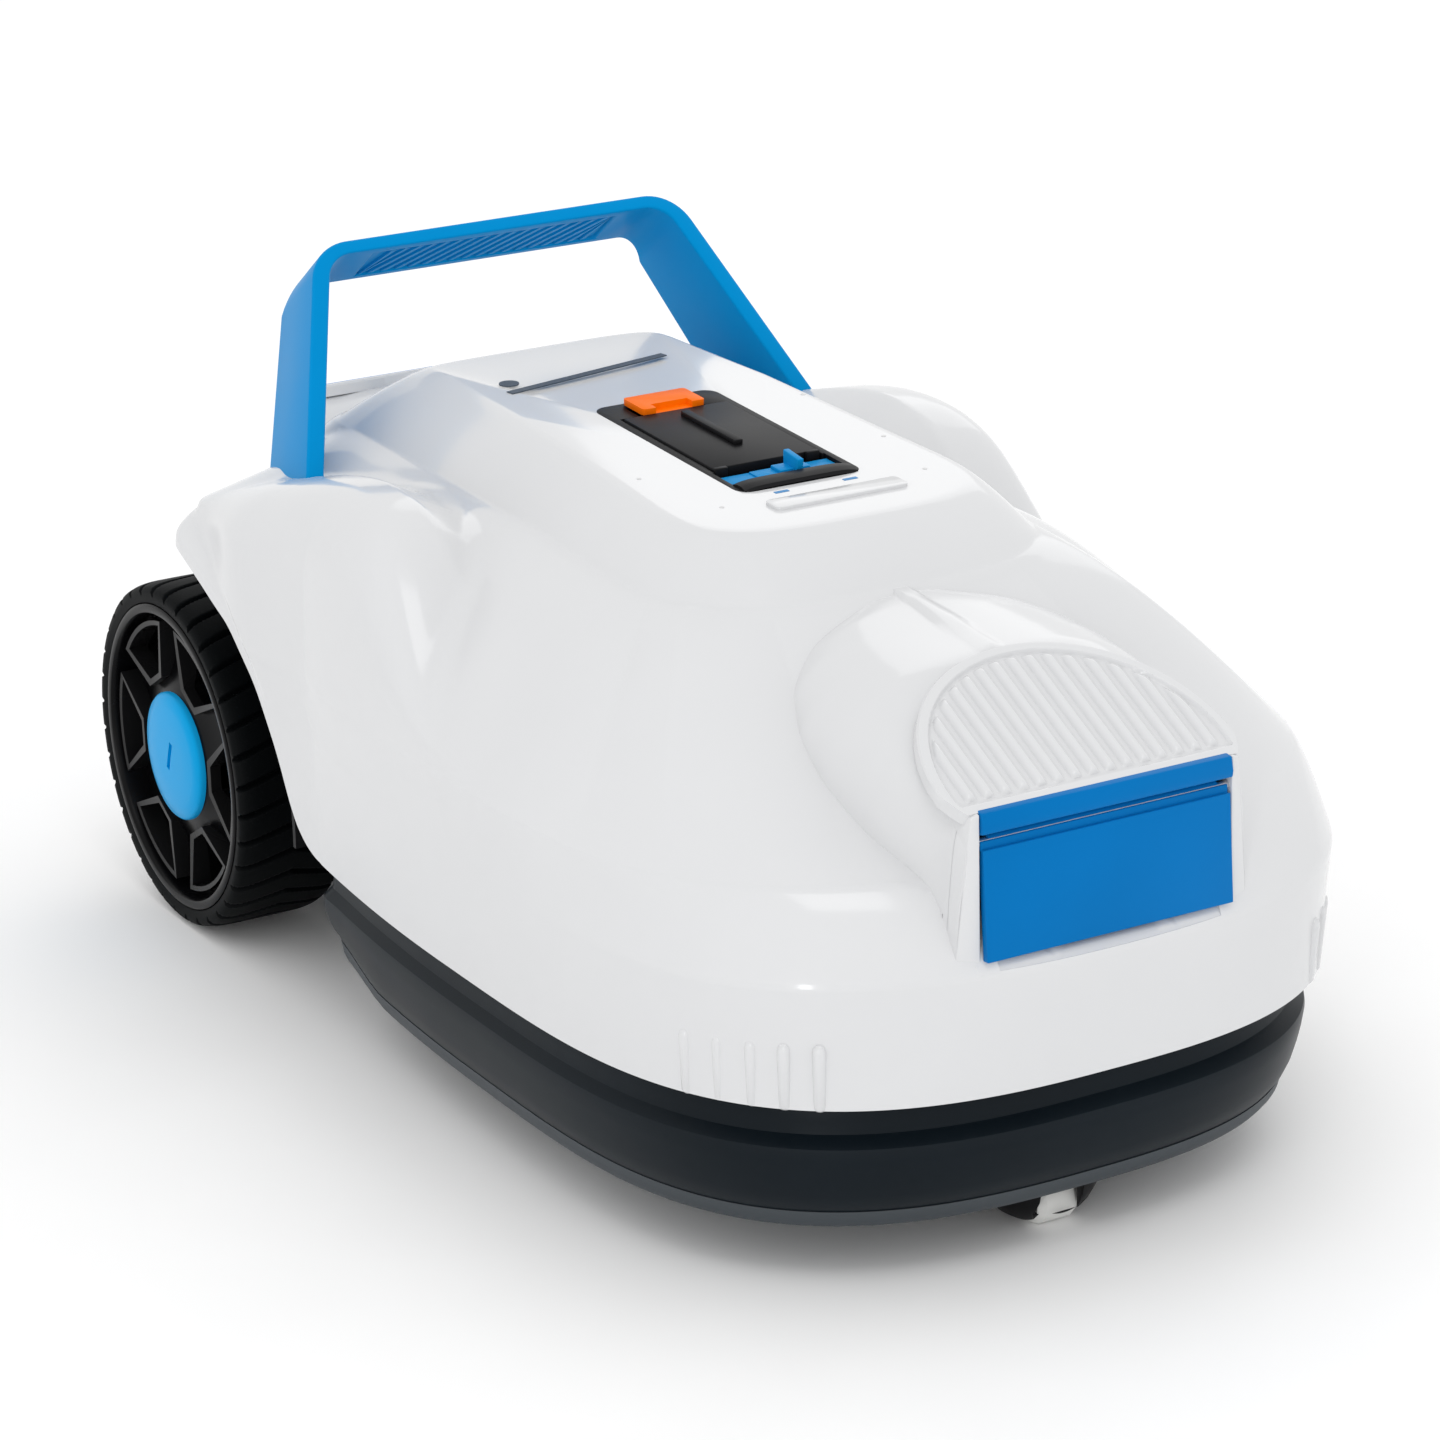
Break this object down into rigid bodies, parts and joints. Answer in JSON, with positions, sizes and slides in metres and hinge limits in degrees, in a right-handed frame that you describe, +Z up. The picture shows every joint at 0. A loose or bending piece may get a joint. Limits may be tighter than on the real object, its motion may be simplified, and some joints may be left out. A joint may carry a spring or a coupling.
{
  "type": "robotic pool cleaner",
  "caption": "Cordless robotic pool cleaner with a white shell on a dark base, jet flaps front and rear, two treaded wheels and a blue carry handle.",
  "frame": {"origin": "centre of the bounding box's bottom face, on the floor the wheels stand on", "axes": "-Y is the front with the larger jet flap housing, +X is the cleaner's left-hand side seen from the front, +Z is up"},
  "size_m": [0.254, 0.471, 0.2456],
  "materials": {
    "shell_white": "gloss",
    "handle_blue": "gloss",
    "flap_blue": "satin",
    "control_black": "satin",
    "latch_orange": "satin",
    "base_dark": "satin",
    "plate_grey": "satin",
    "tread_rubber": "matt",
    "rim_black": "satin",
    "nylon_white": "satin",
    "mesh_nylon": "matt",
    "seal_rubber": "matt",
    "steel": "satin",
    "board_green": "satin"
  },
  "bodies": {
    "chassis": {"chassis_tub": "base_dark", "bottom_plate": "plate_grey", "plate_screws": "steel", "shell_seal": "seal_rubber", "wheel_arch_liners": "control_black", "left_axle": "steel", "right_axle": "steel", "left_wheel_screw": "steel", "right_wheel_screw": "steel", "filter_tray": "base_dark", "filter_mesh": "mesh_nylon", "tray_clips": "handle_blue"},
    "left_wheel": {"left_tyre": "tread_rubber", "left_rim": "rim_black", "left_bush": "nylon_white", "left_hub_cap": "handle_blue"},
    "right_wheel": {"right_tyre": "tread_rubber", "right_rim": "rim_black", "right_bush": "nylon_white", "right_hub_cap": "handle_blue"},
    "caster": {"caster_shroud": "control_black", "caster_pin": "steel"},
    "caster_wheel": {"caster_roller": "nylon_white"},
    "front_inlet": {"front_inlet_flap": "flap_blue"},
    "rear_inlet": {"rear_inlet_flap": "flap_blue"},
    "upper": {"top_shell": "shell_white", "handle": "handle_blue", "handle_grip": "handle_blue", "handle_clamps": "base_dark", "handle_screws": "steel", "front_jet_housing": "shell_white", "rear_jet_housing": "shell_white", "flap_pins": "steel", "control_bed": "control_black", "switch_plate": "handle_blue", "charge_socket": "steel", "pump_housing": "base_dark", "pump_lid": "base_dark", "lid_screws": "steel", "front_motor": "steel", "rear_motor": "steel", "shaft_seals": "seal_rubber", "battery_pack": "flap_blue", "control_board": "board_green"},
    "front_flap": {"front_jet_flap": "flap_blue"},
    "rear_flap": {"rear_jet_flap": "flap_blue"},
    "cover": {"socket_cover": "control_black"},
    "latch": {"release_latch": "latch_orange"},
    "switch": {"switch_knob": "handle_blue"},
    "front_pump": {"front_shaft": "steel", "front_impeller": "nylon_white"},
    "rear_pump": {"rear_shaft": "steel", "rear_impeller": "nylon_white"}
  },
  "joints": [
    {"name": "left_wheel_spin", "type": "hinge", "parent": "chassis", "child": "left_wheel", "pos_m": [-0.1, 0.1743, 0.062], "axis": [1, 0, 0], "continuous": true},
    {"name": "right_wheel_spin", "type": "hinge", "parent": "chassis", "child": "right_wheel", "pos_m": [0.1, 0.1743, 0.062], "axis": [1, 0, 0], "continuous": true},
    {"name": "caster_swivel", "type": "hinge", "parent": "chassis", "child": "caster", "pos_m": [0, -0.192, 0.02], "axis": [0, 0, 1], "continuous": true},
    {"name": "caster_roll", "type": "hinge", "parent": "caster", "child": "caster_wheel", "pos_m": [0, -0.197, 0.008], "axis": [1, 0, 0], "continuous": true},
    {"name": "front_inlet_hinge", "type": "hinge", "parent": "chassis", "child": "front_inlet", "pos_m": [0, -0.0535, 0.0323], "axis": [-1, 0, 0], "range_deg": [0, 70]},
    {"name": "rear_inlet_hinge", "type": "hinge", "parent": "chassis", "child": "rear_inlet", "pos_m": [0, 0.0665, 0.0323], "axis": [-1, 0, 0], "range_deg": [0, 70]},
    {"name": "upper_lift", "type": "slide", "parent": "chassis", "child": "upper", "axis": [0, 0, 1], "range_m": [0, 0.12]},
    {"name": "front_flap_hinge", "type": "hinge", "parent": "upper", "child": "front_flap", "pos_m": [0, -0.226, 0.1395], "axis": [-1, 0, 0], "range_deg": [0, 75]},
    {"name": "rear_flap_hinge", "type": "hinge", "parent": "upper", "child": "rear_flap", "pos_m": [0, 0.226, 0.1615], "axis": [1, 0, 0], "range_deg": [0, 75]},
    {"name": "cover_hinge", "type": "hinge", "parent": "upper", "child": "cover", "pos_m": [0, -0.038, 0.19688], "axis": [1, 0, 0], "range_deg": [0, 95]},
    {"name": "latch_slide", "type": "slide", "parent": "upper", "child": "latch", "axis": [0, 0.9984, 0.0558], "range_m": [0, 0.003], "stiffness_N_per_m": 150},
    {"name": "switch_slide", "type": "slide", "parent": "upper", "child": "switch", "axis": [1, 0, 0], "range_m": [-0.013, 0]},
    {"name": "front_pump_spin", "type": "hinge", "parent": "upper", "child": "front_pump", "pos_m": [0, -0.09, 0.13], "axis": [0, 1, 0], "continuous": true},
    {"name": "rear_pump_spin", "type": "hinge", "parent": "upper", "child": "rear_pump", "pos_m": [0, 0.09, 0.144], "axis": [0, 1, 0], "continuous": true}
  ]
}
